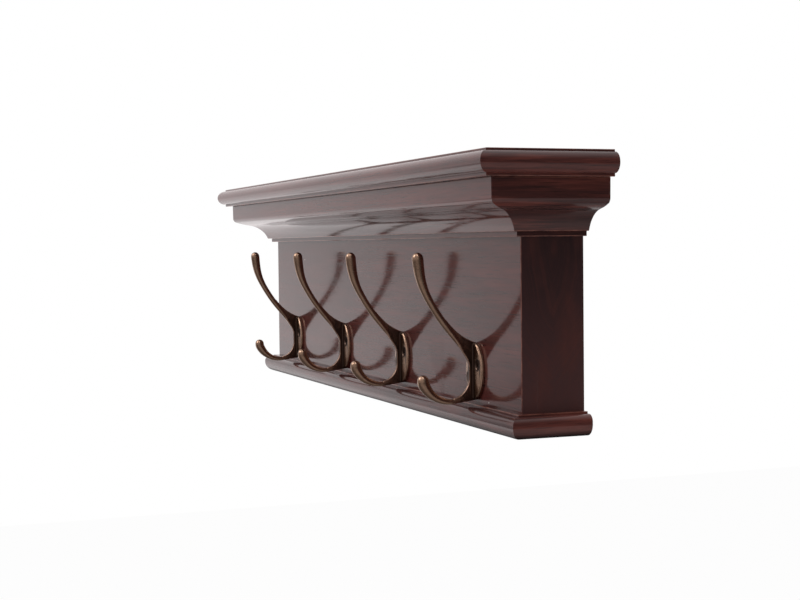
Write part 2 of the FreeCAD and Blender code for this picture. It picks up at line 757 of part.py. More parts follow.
def make_pins():
    """The pins run from just under the moulding's face into the boards."""
    inwards = FreeCAD.Vector(0, 1, 0)
    for row, level, head in pin_rows:
        pins = [make_rod("%s_front_pin_%d" % (row, number), size["pin_radius"], size["pin_length"],
                         inwards, (place, -(panel_depth + head), level))
                for number, place in enumerate(front_pin_places, start=1)]
        for side in (-1, 1):
            towards_middle = FreeCAD.Vector(-side, 0, 0)
            pins += [make_rod("%s_side_pin" % row, size["pin_radius"], size["pin_length"],
                              towards_middle, ((half_length + head) * side, place, level))
                     for place in side_pin_places]
        group(row + "_pins", pins)


def check_features():
    """Stop if a feature failed, or if a cut took nothing away."""
    for thing in doc.Objects:
        if "Invalid" in thing.State or "Error" in thing.State:
            raise RuntimeError("%s failed: %s" % (thing.Name, thing.State))
        if thing.TypeId in ("PartDesign::Pocket", "PartDesign::Hole"):
            if not thing.Shape.Volume < thing.BaseFeature.Shape.Volume:
                raise RuntimeError("%s cuts nothing" % thing.Name)
    for part in parts:
        if part.Shape.isNull() or not part.Shape.isValid():
            raise RuntimeError("%s has no valid shape" % part.Label)


def write_parts():
    os.makedirs("parts", exist_ok=True)
    for part in parts:
        part.Shape.exportStep("parts/%s.step" % part.Label)
        print("%-22s %d solid(s) %12.1f mm3" % (part.Label, len(part.Shape.Solids), part.Shape.Volume))


make_front_board()
make_back_board()
make_top_board()
make_moulding("cap_edge", cap_edge_outline(), cap_bottom, size["cap_overhang"])
make_moulding("crown", scaled_outline(CROWN_SHARES, size["crown_height"], size["crown_overhang"]),
              crown_bottom, size["crown_overhang"], pin_rows[0])
make_moulding("base", scaled_outline(BASE_SHARES, size["base_height"], size["base_overhang"]),
              bottom, size["base_overhang"], pin_rows[1])
for hook_number, hook_place in enumerate(hook_places, start=1):
    make_hook(hook_number, hook_place)
make_hook_screws()
for plate_side, plate_place in keyhole_places:
    make_keyhole_plate(plate_side, plate_place)
make_plate_screws()
make_dowels()
make_pins()
doc.recompute()
check_features()
write_parts()
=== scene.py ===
# %% [markdown]
# # A wall coat rack
#
# This lesson dresses a small wall rack: a panel of two boards under a bullnosed cap and a crown moulding,
# over a base moulding, with four cast double hooks on the front. The measured solids arrive ready made, so
# the steps here are about looks: which wood and metal each piece is made of, how its edges are eased and
# worn, and how the light falls on it. Everything is in metres, the wall is the plane Y = 0, and the front
# of the rack faces -Y.

# %% Open the frame
import math

import bmesh
import bpy
from mathutils import Matrix, Vector


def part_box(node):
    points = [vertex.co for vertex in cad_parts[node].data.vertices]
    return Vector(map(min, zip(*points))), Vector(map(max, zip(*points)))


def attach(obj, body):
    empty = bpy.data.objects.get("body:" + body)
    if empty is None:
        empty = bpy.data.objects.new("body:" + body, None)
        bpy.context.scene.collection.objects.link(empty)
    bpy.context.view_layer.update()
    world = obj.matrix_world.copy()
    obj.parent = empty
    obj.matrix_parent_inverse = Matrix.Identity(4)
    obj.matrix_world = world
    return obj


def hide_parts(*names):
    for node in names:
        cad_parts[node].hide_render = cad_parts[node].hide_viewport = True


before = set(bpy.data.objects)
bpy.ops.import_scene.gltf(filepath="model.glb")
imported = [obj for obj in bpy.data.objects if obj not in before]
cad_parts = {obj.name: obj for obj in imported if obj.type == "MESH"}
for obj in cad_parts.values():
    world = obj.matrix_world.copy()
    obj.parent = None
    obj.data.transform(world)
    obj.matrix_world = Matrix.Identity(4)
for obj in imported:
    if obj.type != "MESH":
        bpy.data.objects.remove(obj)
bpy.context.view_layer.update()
MM = 0.001

# %% [markdown]
# ## A few words for building node trees
#
# A material is a small network of boxes, and so is a Geometry Nodes tree. Written out in full, each box
# takes several lines, so these helpers shorten the commonest jobs: place a box and fill its sockets, do a
# sum, blend two colours, stretch a range, or split a point into its three numbers. A socket takes a plain
# number or another box's output.

# %% Helpers for node trees


def fill_socket(tree, socket, value):
    if isinstance(value, bpy.types.NodeSocket):
        tree.links.new(value, socket)
    else:
        socket.default_value = value


def place(tree, kind, inputs=None, **settings):
    """Add a box to a tree, set its options, and fill its named or numbered sockets."""
    made = tree.nodes.new(kind)
    for name, value in settings.items():
        setattr(made, name, value)
    for key, value in (inputs or {}).items():
        fill_socket(tree, made.inputs[key], value)
    return made


def sum_of(tree, operation, first, second=0.0, clamp=False):
    return place(tree, "ShaderNodeMath", {0: first, 1: second}, operation=operation,
                 use_clamp=clamp).outputs[0]


def add_share(tree, total, pattern, share, clamp=False):
    """Add a share of a pattern to a running total."""
    return place(tree, "ShaderNodeMath", {0: pattern, 1: share, 2: total}, operation="MULTIPLY_ADD",
                 use_clamp=clamp).outputs[0]


def blend(tree, factor, first, second):
    made = place(tree, "ShaderNodeMix", {"Factor": factor}, data_type="RGBA")
    fill_socket(tree, made.inputs[6], first)
    fill_socket(tree, made.inputs[7], second)
    return made.outputs[2]


def spread(tree, value, low, high, to_low=0.0, to_high=1.0):
    """Stretch the part of a pattern between low and high over a new range."""
    return place(tree, "ShaderNodeMapRange", {"Value": value, "From Min": low, "From Max": high,
                                              "To Min": to_low, "To Max": to_high}).outputs[0]


def stretched(tree, vector, scale):
    return place(tree, "ShaderNodeMapping", {"Vector": vector, "Scale": scale}).outputs[0]


def split_point(tree, vector):
    return place(tree, "ShaderNodeSeparateXYZ", {0: vector}).outputs


def noise(tree, vector, scale=1.0, detail=3.0, roughness=0.55):
    return place(tree, "ShaderNodeTexNoise", {"Vector": vector, "Scale": scale, "Detail": detail,
                                              "Roughness": roughness}).outputs[0]


def dents_from(tree, height, strength, depth):
    """A bump that turns a pattern into shallow dents of at most this depth."""
    return place(tree, "ShaderNodeBump", {"Strength": strength, "Distance": depth,
                                          "Height": height}).outputs[0]


def attribute(tree, name):
    return place(tree, "ShaderNodeAttribute", attribute_name=name).outputs["Fac"]


def new_material(name):
    material = bpy.data.materials.new(name)
    material.use_nodes = True
    tree = material.node_tree
    return material, tree, tree.nodes["Principled BSDF"]


# %% [markdown]
# ## Stained and lacquered wood
#
# Wood is a solid pattern: growth rings are long cylinders round the middle of the tree, and fibres and pores
# run along them. A board only shows a slice of it. So the rings here are distances from an axis that runs
# along the board, bent a little by noise, and one pattern gives the streaks on the faces and the curved
# lines on the sawn ends. A painted picture of grain would need a different one for each side.
#
# A dark mahogany stain colours it. It was wiped on unevenly, which leaves darker clouds. It soaks deepest
# into the open pores and the sawn ends, which look greyer, and it is rubbed thin on the arrises, which the
# meshes mark with an attribute called "worn". The sawn ends also get painted shade towards the top and
# painted light towards the foot. A clear gloss lacquer, the coat of the shader, lies over everything and
# mirrors the room at a low angle. Towards the lowest rim of the base the coat thins out and the colour
# darkens: painted shade along the bottom edge.

# %% Wood colours
DEEP_BROWN = (0.033, 0.0082, 0.0082, 1.0)
RED_BROWN = (0.118, 0.0225, 0.0180, 1.0)
WEATHERED_RED = (0.155, 0.043, 0.033, 1.0)
# the colour of the open pores, and also of the painted shade at the base's lowest rim
PORE_AND_RIM_SHADE_BROWN = (0.0120, 0.0050, 0.0050, 1.0)
MURK_BROWN = (0.0170, 0.0090, 0.0105, 1.0)
ARRIS_RED = (0.230, 0.085, 0.060, 1.0)
# painted shade and painted light: the sawn end's colour at its top and at its foot
END_SHADED_TOP = (0.0330, 0.0150, 0.0165, 1.0)
END_LIT_FOOT = (0.0780, 0.0350, 0.0340, 1.0)
SOAKED_RED = (0.1000, 0.0330, 0.0270, 1.0)
DUST = (0.60, 0.55, 0.52, 1.0)
print("stain from", DEEP_BROWN[:3], "to", RED_BROWN[:3])

# %% [markdown]
# Every layer of the grain is a noise, packed loosely along the fibres and tightly across them. The numbers
# below say how often each one changes in a metre: first along the fibres, then across them both ways. Pores
# are hair-fine and long, and clouds are as long as a hand and as broad as two fingers.

# %% Grain patterns
ALONG_X = (0.0, 0.0, 0.0)
ALONG_Y = (0.0, 0.0, math.radians(-90.0))
FIBRE_PACKING = (16.0, 700.0, 700.0)
STREAK_PACKING = (22.0, 240.0, 240.0)
MURK_PACKING = (9.0, 80.0, 120.0)
CLOUD_PACKING = (4.0, 24.0, 34.0)
PORE_PACKING = (34.0, 1500.0, 1500.0)
BEND_PACKING = (2.2, 11.0, 11.0)
RIPPLE_PACKING = (9.0, 60.0, 60.0)
BLOTCH_PACKING = (20.0, 60.0, 22.0)
PATCH_SCALE, DUST_SCALE = 90.0, 34.0
RING_SCALE, RING_WAVER, RING_RIPPLE = 330.0, 0.022, 0.004
RING_SHARE, FIBRE_SHARE, STREAK_SHARE, PORE_SHARE = 0.24, 0.30, 0.24, 0.55
# painted shade: between these two heights the base's lowest rim loses its coat and darkens
RIM_SHADE_FOOT, RIM_SHADE_TOP = -98.6 * MM, -95.6 * MM
print("the base is dry up to", RIM_SHADE_TOP)

# %% Growth rings


def wood_rings(tree, point, heart):
    """Growth rings: a wavering distance from the heart of the tree, run through one-dimensional noise."""
    bend = noise(tree, stretched(tree, point, BEND_PACKING), detail=2.0)
    ripple = noise(tree, stretched(tree, point, RIPPLE_PACKING), detail=1.0)
    along, depth, level = split_point(tree, point)
    across = sum_of(tree, "SUBTRACT", depth, heart[0])
    up = sum_of(tree, "SUBTRACT", level, heart[1])
    flat = place(tree, "ShaderNodeCombineXYZ", {0: 0.0, 1: across, 2: up}).outputs[0]
    distance = place(tree, "ShaderNodeVectorMath", {0: flat}, operation="LENGTH").outputs["Value"]
    wavering = add_share(tree, add_share(tree, distance, bend, RING_WAVER), ripple, RING_RIPPLE)
    return place(tree, "ShaderNodeTexNoise", {"W": wavering, "Scale": RING_SCALE, "Detail": 2.5,
                                              "Roughness": 0.65}, noise_dimensions="1D").outputs[0]


# %% Sawn ends


def end_grain_mask(tree, normal, turn):
    """1 where a face looks along the fibres, 0 elsewhere."""
    facing = place(tree, "ShaderNodeVectorRotate", {"Vector": normal, "Rotation": turn},
                   rotation_type="EULER_XYZ").outputs[0]
    endways = sum_of(tree, "ABSOLUTE", split_point(tree, facing)[0])
    return spread(tree, endways, 0.90, 0.97)


def soaked_end_with_painted_light(tree, point, rings, clouds):
    """The sawn end: greyer than the faces, with painted shade at its top and painted light at its foot, and
    hairlines where the rings are cut.
    """
    # painted shade towards the top of the sawn end, painted light towards its foot
    colour = blend(tree, spread(tree, split_point(tree, point)[2], 0.05, -0.08), END_SHADED_TOP, END_LIT_FOOT)
    hairlines = sum_of(tree, "MULTIPLY", spread(tree, rings, 0.50, 0.60),
                       spread(tree, clouds, 0.35, 0.70, 0.05, 0.30))
    colour = blend(tree, hairlines, colour, SOAKED_RED)
    blotches = noise(tree, stretched(tree, point, BLOTCH_PACKING), detail=3.0)
    return blend(tree, spread(tree, blotches, 0.45, 0.75, 0.0, 0.6), colour, SOAKED_RED)


# %% Lacquer and dust


def lacquer(tree, surface, colour, fibres, pore_mask):
    """Lay a clear coat over the colour, dented a little by the fibres and the open pores."""
    height = sum_of(tree, "SUBTRACT", sum_of(tree, "MULTIPLY", fibres, 0.35), pore_mask)
    dents = dents_from(tree, height, 0.20, 0.05 * MM)
    fill_socket(tree, surface.inputs["Base Color"], colour)
    fill_socket(tree, surface.inputs["Roughness"], spread(tree, fibres, 0.2, 0.8, 0.45, 0.62))
    fill_socket(tree, surface.inputs["Normal"], dents)
    fill_socket(tree, surface.inputs["Coat Normal"], dents)
    surface.inputs["Specular IOR Level"].default_value = 0.08
    surface.inputs["Coat Weight"].default_value = 1.0
    surface.inputs["Coat Roughness"].default_value = 0.09
    surface.inputs["Coat IOR"].default_value = 1.5


def painted_rim_shade(tree, surface, point, colour):
    """Painted shade: thin the coat out towards the lowest rim, and darken the colour there."""
    level = split_point(tree, point)[2]
    fill_socket(tree, surface.inputs["Coat Weight"], spread(tree, level, RIM_SHADE_FOOT, RIM_SHADE_TOP))
    # painted shade: the colour darkens towards the lowest rim
    return blend(tree, spread(tree, level, RIM_SHADE_TOP, RIM_SHADE_FOOT), colour, PORE_AND_RIM_SHADE_BROWN)


def dust_flecks(tree, point, colour):
    cells = place(tree, "ShaderNodeTexVoronoi", {"Vector": point, "Scale": DUST_SCALE}).outputs["Distance"]
    return blend(tree, spread(tree, cells, 0.022, 0.016), colour, DUST)


# %% The whole wood


def stained_wood(name, turn, heart, seed=0.0, red=RED_BROWN, redness=0.30, figure=STREAK_SHARE, murk=0.20,
                 dusty=False, shaded_rim=False):
    """Stained, lacquered wood. Turn lays the fibres along X or Y; heart is the tree's middle.

    Redness, figure and murk are the shares of broad red clouds, fine streaks and dark clouds.
    """
    material, tree, surface = new_material(name)
    coordinates = place(tree, "ShaderNodeTexCoord")
    point = coordinates.outputs["Object"]
    turned = place(tree, "ShaderNodeMapping", {"Vector": point, "Rotation": turn,
                                               "Location": (seed, 0.0, 0.0)}).outputs[0]
    rings = wood_rings(tree, turned, heart)
    fibres = noise(tree, stretched(tree, turned, FIBRE_PACKING), detail=4.0, roughness=0.65)
    clouds = noise(tree, stretched(tree, turned, CLOUD_PACKING))
    streaks = noise(tree, stretched(tree, turned, STREAK_PACKING), detail=2.0)
    shadows = noise(tree, stretched(tree, turned, MURK_PACKING), detail=4.0, roughness=0.6)
    pores = noise(tree, stretched(tree, turned, PORE_PACKING), detail=1.0, roughness=0.4)
    pore_mask = spread(tree, pores, 0.60, 0.72)

    warmth = sum_of(tree, "MULTIPLY", spread(tree, rings, 0.34, 0.66), RING_SHARE)
    warmth = add_share(tree, warmth, spread(tree, fibres, 0.30, 0.70), FIBRE_SHARE)
    warmth = add_share(tree, warmth, spread(tree, streaks, 0.38, 0.62), figure)
    warmth = add_share(tree, warmth, spread(tree, clouds, 0.34, 0.66), redness, clamp=True)
    colour = blend(tree, warmth, DEEP_BROWN, red)
    colour = blend(tree, spread(tree, shadows, 0.44, 0.56, 0.0, murk), colour, MURK_BROWN)
    colour = blend(tree, sum_of(tree, "MULTIPLY", pore_mask, PORE_SHARE), colour, PORE_AND_RIM_SHADE_BROWN)
    end_mask = end_grain_mask(tree, coordinates.outputs["Normal"], turn)
    colour = blend(tree, end_mask, colour, soaked_end_with_painted_light(tree, point, rings, clouds))

    patches = noise(tree, point, PATCH_SCALE, 3.0, 0.7)
    thin_stain = sum_of(tree, "MULTIPLY", attribute(tree, "worn"), spread(tree, patches, 0.30, 0.60))
    colour = blend(tree, thin_stain, colour, ARRIS_RED)
    if dusty:
        colour = dust_flecks(tree, point, colour)
    if shaded_rim:
        colour = painted_rim_shade(tree, surface, point, colour)
    lacquer(tree, surface, colour, fibres, pore_mask)
    return material


# %% [markdown]
# The two boards of the panel are laid with the hearts of their trees on opposite sides, as a joiner does so
# that they pull against each other. That is why the end of the rack shows two fields of curved lines that
# meet at the glue line like the pages of an open book. The mouldings come from redder stock, and the short
# returns show a stronger figure than the long fronts. The base's two woods are darker, less red and murkier
# copies: painted shade at the foot of the rack. A seed shifts each wood along its fibres, so that no two
# finishes repeat each other.

# %% Mix the wood finishes
front_board_wood = stained_wood("front_board_wood", ALONG_X, (0.078, 0.040), dusty=True)
back_board_wood = stained_wood("back_board_wood", ALONG_X, (-0.127, 0.045), seed=0.7)
cap_wood = stained_wood("cap_wood", ALONG_X, (-0.04, 0.02), seed=1.9)
front_moulding_wood = stained_wood("front_moulding_wood", ALONG_X, (-0.02, 0.0), seed=3.1, redness=0.70)
return_moulding_wood = stained_wood("return_moulding_wood", ALONG_Y, (0.05, 0.02), seed=4.3,
                                    red=WEATHERED_RED, redness=0.50, figure=0.42, murk=0.60)
# painted shade: the base's woods are darker, less red and murkier copies for the foot of the rack
shaded_base_front_wood = stained_wood("shaded_base_front_wood", ALONG_X, (0.02, -0.03), seed=5.4, redness=0.50,
                               murk=0.50, shaded_rim=True)
shaded_base_return_wood = stained_wood("shaded_base_return_wood", ALONG_Y, (0.02, 0.06), seed=6.2, red=WEATHERED_RED,
                                redness=0.42, figure=0.42, murk=0.50, shaded_rim=True)
print("wood finishes:", [m.name for m in bpy.data.materials if m.name.endswith("_wood")])

# %% [markdown]
# ## Helpers for Geometry Nodes and finished pieces
#
# A Geometry Nodes tree is a recipe: the same tree makes every stick of moulding or every row of screws, with
# other numbers in its inputs. Once it has run, the result is turned into a plain mesh, so that the piece
# stands on its own.

# %% Trees and their inputs


def node_group(name, inputs):
    """A tree with geometry in and out and the named inputs (name, socket type, default)."""
    tree = bpy.data.node_groups.new(name, "GeometryNodeTree")
    tree.interface.new_socket("Geometry", in_out="INPUT", socket_type="NodeSocketGeometry")
    for label, kind, default in inputs:
        socket = tree.interface.new_socket(label, in_out="INPUT", socket_type=kind)
        if default is not None:
            socket.default_value = default
    tree.interface.new_socket("Geometry", in_out="OUTPUT", socket_type="NodeSocketGeometry")
    return tree, tree.nodes.new("NodeGroupInput"), tree.nodes.new("NodeGroupOutput")


def finish_tree(tree, geometry, finish, output):
    joined = place(tree, "GeometryNodeRealizeInstances", {0: geometry}).outputs[0]
    dressed = place(tree, "GeometryNodeSetMaterial", {"Geometry": joined, "Material": finish})
    fill_socket(tree, output.inputs[0], dressed.outputs[0])


def add_recipe(piece, tree, values):
    """Put a tree on a piece, and set each input through the identifier of the socket with its name."""
    recipe = piece.modifiers.new(tree.name, "NODES")
    recipe.node_group = tree
    for item in tree.interface.items_tree:
        if item.item_type == "SOCKET" and item.in_out == "INPUT" and item.name in values:
            recipe[item.identifier] = values[item.name]


# %% Plain meshes and their places


def link_mesh(name, mesh):
    piece = bpy.data.objects.new(name, mesh)
    bpy.context.scene.collection.objects.link(piece)
    return piece


def plain_mesh(piece, name):
    """Run a piece's modifiers and keep the result as a plain mesh object of its own."""
    graph = bpy.context.evaluated_depsgraph_get()
    mesh = bpy.data.meshes.new_from_object(piece.evaluated_get(graph))
    mesh.name = name
    bpy.data.objects.remove(piece)
    return link_mesh(name, mesh)


def stand_for(piece, *node_names):
    """Hang a finished piece on the rack in place of its solids."""
    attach(piece, "root")
    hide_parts(*node_names)
    print(piece.name, "stands for", len(node_names), "solid(s), faces:", len(piece.data.polygons))


def crisp_shading(piece, angle=38.0):
    """Smooth shading that breaks at sharp edges and keeps broad faces flat."""
    piece.data.shade_smooth()
    piece.data.set_sharp_from_angle(angle=math.radians(angle))
    even = piece.modifiers.new("even_shading", "WEIGHTED_NORMAL")
    even.keep_sharp = True


# %% [markdown]
# ## Drawing a moulding's section
#
# A moulding is one outline run along a length of wood. Each outline below is a list of corners, measured out
# from the panel and up from the moulding's lower edge in millimetres. The third number bows the edge that
# ends there: outwards for a bead, inwards for a cove. A cutter leaves sharp corners and sandpaper takes them
# off, so every outer corner is then rounded by half a millimetre and marked as worn.

# %% Outlines
CAP_EDGE = [(24.0, 0.0, 0.0), (46.6, 0.0, 0.0), (46.6, 2.2, 0.0), (54.0, 9.6, 2.167), (46.6, 17.0, 2.167),
            (46.6, 18.6, 0.0), (24.0, 18.6, 0.0), (24.0, 12.35, 0.0), (32.3, 12.35, 0.0),
            (32.3, 6.25, 0.0), (24.0, 6.25, 0.0)]
CROWN = [(0.0, 0.0, 0.0), (5.31, 0.0, 0.0), (5.31, 3.39, 0.0), (8.88, 3.71, 0.0), (25.41, 18.51, -3.05),
         (37.19, 21.91, 0.28), (40.0, 26.09, 0.74), (40.2, 39.9, 0.0), (0.0, 39.9, 0.0)]
BASE = [(0.0, 0.0, 0.0), (4.0, 0.0, 0.0), (12.9, 9.0, 2.63), (12.9, 10.73, 0.0), (7.42, 15.81, 1.52),
        (5.16, 15.81, 0.0), (5.16, 17.3, 0.0), (0.0, 17.3, 0.0)]
EASING = 0.5 * MM
SUPPORT = 0.25 * MM
BOW_STEPS = 14
SHARPEST_BEND = 30.0
print("outlines drawn with bows of", BOW_STEPS, "steps")

# %% Rounding an outline


def bowed_edge(start, finish, rise):
    """Points from start (left out) to finish along an arc that rises to the right of the way."""
    if rise == 0.0:
        return [finish]
    chord = finish - start
    middle = (start + finish) / 2
    outwards = Vector((chord.y, -chord.x)).normalized()
    radius = (chord.length ** 2 / 4 + rise ** 2) / (2 * abs(rise))
    side = 1.0 if rise > 0 else -1.0
    centre = middle + outwards * (rise - radius * side)
    half_turn = math.asin(min(1.0, chord.length / 2 / radius))
    points = []
    for step in range(1, BOW_STEPS + 1):
        turn = half_turn * (2.0 * step / BOW_STEPS - 1.0)
        along = chord.normalized() * math.sin(turn) * radius
        points.append(centre + along + outwards * side * math.cos(turn) * radius)
    return points


def eased_outline(corners):
    """The outline's points, each with how worn it is: bows drawn out, outer corners rounded."""
    drawn = []
    for index, (out, up, rise) in enumerate(corners):
        before = corners[index - 1]
        drawn += bowed_edge(Vector(before[:2]) * MM, Vector((out, up)) * MM, rise * MM)
    innermost = min(point.x for point in drawn)
    eased = []
    for index, corner in enumerate(drawn):
        into = corner - drawn[index - 1]
        away = drawn[(index + 1) % len(drawn)] - corner
        turn = -math.degrees(into.angle_signed(away, 0.0))
        if turn < SHARPEST_BEND or corner.x < innermost + 0.001 * MM:
            eased.append((corner, 0.0))
            continue
        inset = min(EASING, into.length * 0.4, away.length * 0.4)
        start = corner - into.normalized() * inset
        finish = corner + away.normalized() * inset
        if into.length > inset + SUPPORT * 3:
            eased.append((start - into.normalized() * SUPPORT, 0.0))
        eased += [(start, 1.0), (start * 0.25 + corner * 0.5 + finish * 0.25, 1.0), (finish, 1.0)]
        if away.length > inset + SUPPORT * 3:
            eased.append((finish + away.normalized() * SUPPORT, 0.0))
    return eased


def outline_face(name, corners):
    """A mesh with one face, standing in the plane X = 0: the section of a stick."""
    points = eased_outline(corners)
    mesh = bpy.data.meshes.new(name)
    mesh.from_pydata([(0.0, point.x, point.y) for point, worn in points], [], [range(len(points))])
    mesh.attributes.new("worn", "FLOAT", "POINT").data.foreach_set("value", [worn for point, worn in points])
    print(name, "outline:", len(points), "points")
    return mesh


# %% [markdown]
# ## A recipe for a stick of moulding
#
# The tree pushes the outline along X into a stick and closes both ends. Then it slides every point of an end
# by its own distance out from the panel, which cuts a mitre of 45 degrees, turns the stick and sets it in
# its place. Sweeping one outline round the corner would be simpler, but real returns are separate sticks,
# and their grain turns the corner with them.

# %% The stick tree


def stick_tree():
    tree, given, output = node_group("moulding_stick", [
        ("Length", "NodeSocketFloat", 0.1), ("Start Mitre", "NodeSocketFloat", 0.0),
        ("End Mitre", "NodeSocketFloat", 0.0), ("Turn", "NodeSocketFloat", 0.0),
        ("Place", "NodeSocketVector", (0.0, 0.0, 0.0)), ("Finish", "NodeSocketMaterial", None)])
    length = given.outputs["Length"]
    back = place(tree, "ShaderNodeCombineXYZ", {0: sum_of(tree, "MULTIPLY", length, -0.5)}).outputs[0]
    push = place(tree, "ShaderNodeCombineXYZ", {0: length}).outputs[0]
    section = place(tree, "GeometryNodeTransform", {"Geometry": given.outputs["Geometry"],
                                                    "Translation": back}).outputs[0]
    pushed = place(tree, "GeometryNodeExtrudeMesh", {"Mesh": section, "Offset": push,
                                                     "Individual": False}).outputs[0]
    start_end = place(tree, "GeometryNodeFlipFaces", {0: section}).outputs[0]
    both = place(tree, "GeometryNodeJoinGeometry")
    for half in (pushed, start_end):
        tree.links.new(half, both.inputs[0])
    closed = place(tree, "GeometryNodeMergeByDistance", {"Geometry": both.outputs[0],
                                                         "Distance": 0.001 * MM}).outputs[0]
    along, out, up = split_point(tree, place(tree, "GeometryNodeInputPosition").outputs[0])
    at_far_end = sum_of(tree, "GREATER_THAN", along, 0.0)
    slope = place(tree, "ShaderNodeMix", {
        "Factor": at_far_end, "A": sum_of(tree, "MULTIPLY", given.outputs["Start Mitre"], -1.0),
        "B": given.outputs["End Mitre"]}).outputs[0]
    slide = place(tree, "ShaderNodeCombineXYZ", {0: sum_of(tree, "MULTIPLY", slope, out)}).outputs[0]
    mitred = place(tree, "GeometryNodeSetPosition", {"Geometry": closed, "Offset": slide}).outputs[0]
    turn = place(tree, "ShaderNodeCombineXYZ", {2: given.outputs["Turn"]}).outputs[0]
    placed = place(tree, "GeometryNodeTransform", {"Geometry": mitred, "Rotation": turn,
                                                   "Translation": given.outputs["Place"]}).outputs[0]
    finish_tree(tree, placed, given.outputs["Finish"], output)
    return tree


stick_recipe = stick_tree()
half_length = float(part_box("front_board")[1][0])
panel_depth = -float(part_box("front_board")[0][1])
print("half the panel:", half_length, "its depth:", panel_depth)

# %% Run the three mouldings


def run_moulding(family, corners, front_finish, return_finish):
    """The front stick and the two returns of one moulding, each mitred where it meets the next."""
    level = float(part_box(family + "_front")[0][2])
    quarter = math.pi / 2
    sticks = [
        ("front", half_length * 2, 1.0, 1.0, math.pi, (0.0, -panel_depth, level), front_finish),
        ("right", panel_depth, 0.0, 1.0, -quarter, (half_length, -panel_depth / 2, level), return_finish),
        ("left", panel_depth, 1.0, 0.0, quarter, (-half_length, -panel_depth / 2, level), return_finish),
    ]
    for side, length, start_mitre, end_mitre, turn, spot, finish in sticks:
        name = "%s_%s_stick" % (family, side)
        stick = link_mesh(name, outline_face(name, corners))
        add_recipe(stick, stick_recipe, {
            "Length": length, "Start Mitre": start_mitre, "End Mitre": end_mitre, "Turn": turn,
            "Place": spot, "Finish": finish})
        stick = plain_mesh(stick, name)
        crisp_shading(stick)
        stand_for(stick, "%s_%s" % (family, side))


run_moulding("cap_edge", CAP_EDGE, front_moulding_wood, return_moulding_wood)
run_moulding("crown", CROWN, front_moulding_wood, return_moulding_wood)
run_moulding("base", BASE, shaded_base_front_wood, shaded_base_return_wood)

# %% [markdown]
# ## The boards
#
# The boards are right as they come, apart from their razor edges, which catch no light. Each is copied and
# its triangles are joined into whole faces. Then the upright edges at the panel's outer corners, and the
# edges along the back of the top board, get a narrow bevel that is marked as worn. The edges at the glue
# line stay sharp, because there the two boards were planed flush as one.

# %% Ease the boards
UPWARDS = Vector((0.0, 0.0, 1.0))
SIDEWAYS = Vector((1.0, 0.0, 0.0))


def ease_board(node_name, direction, face_level, finish):
    """Replace a board by a copy whose edges along direction, on the face at that Y, are bevelled."""
    sheet = bmesh.new()
    sheet.from_mesh(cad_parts[node_name].data)
    bmesh.ops.remove_doubles(sheet, verts=sheet.verts, dist=0.001 * MM)
    bmesh.ops.dissolve_limit(sheet, angle_limit=math.radians(0.2), verts=sheet.verts, edges=sheet.edges)
    sharp = []
    for edge in sheet.edges:
        along = (edge.verts[1].co - edge.verts[0].co).normalized()
        on_face = all(abs(vert.co.y - face_level) < 0.01 * MM for vert in edge.verts)
        if abs(along.dot(direction)) > 0.999 and on_face and edge.calc_face_angle(0.0) > 1.0:
            sharp.append(edge)
    worn = sheet.faces.layers.float.new("worn")
    bevel = bmesh.ops.bevel(sheet, geom=sharp, offset=EASING, segments=2, profile=0.5, affect="EDGES",
                            clamp_overlap=True)
    for face in bevel["faces"]:
        face[worn] = 1.0
    mesh = bpy.data.meshes.new(node_name + "_eased")
    sheet.to_mesh(mesh)
    sheet.free()
    mesh.materials.clear()
    mesh.materials.append(finish)
    board = link_mesh(node_name + "_eased", mesh)
    crisp_shading(board)
    print("eased edges:", len(sharp))
    stand_for(board, node_name)


ease_board("front_board", UPWARDS, -panel_depth, front_board_wood)
ease_board("back_board", UPWARDS, 0.0, back_board_wood)
ease_board("top_board", SIDEWAYS, 0.0, cap_wood)

# %% [markdown]
# ## Aged bronze
#
# The hooks are castings in a warm bronze. A dark brown patina lies in the pits that the sand mould leaves,
# and years of coats have rubbed the rims and the tips brighter. Both are worked out on the mesh and kept as
# attributes, so they belong to the piece and stay put from every side. "rubbed" is high where the surface
# bulges sharply, because a coat or a hand touches it there. "patina_and_painted_shade" is high down the fin,
# along its foot and most of all in the hollows of the screws. There it is partly patina that neither a coat
# nor a hand rubs away, and partly painted shade: the darkening also stands in for the shade that lies there.

# %% Bronze finish
PATINA_AND_SHADE = (0.080, 0.050, 0.038, 1.0)
BRONZE = (0.520, 0.340, 0.235, 1.0)
BRIGHT_BRONZE = (0.700, 0.440, 0.330, 1.0)
PATINA_PATCHES, CASTING_PITS = 210.0, 1900.0


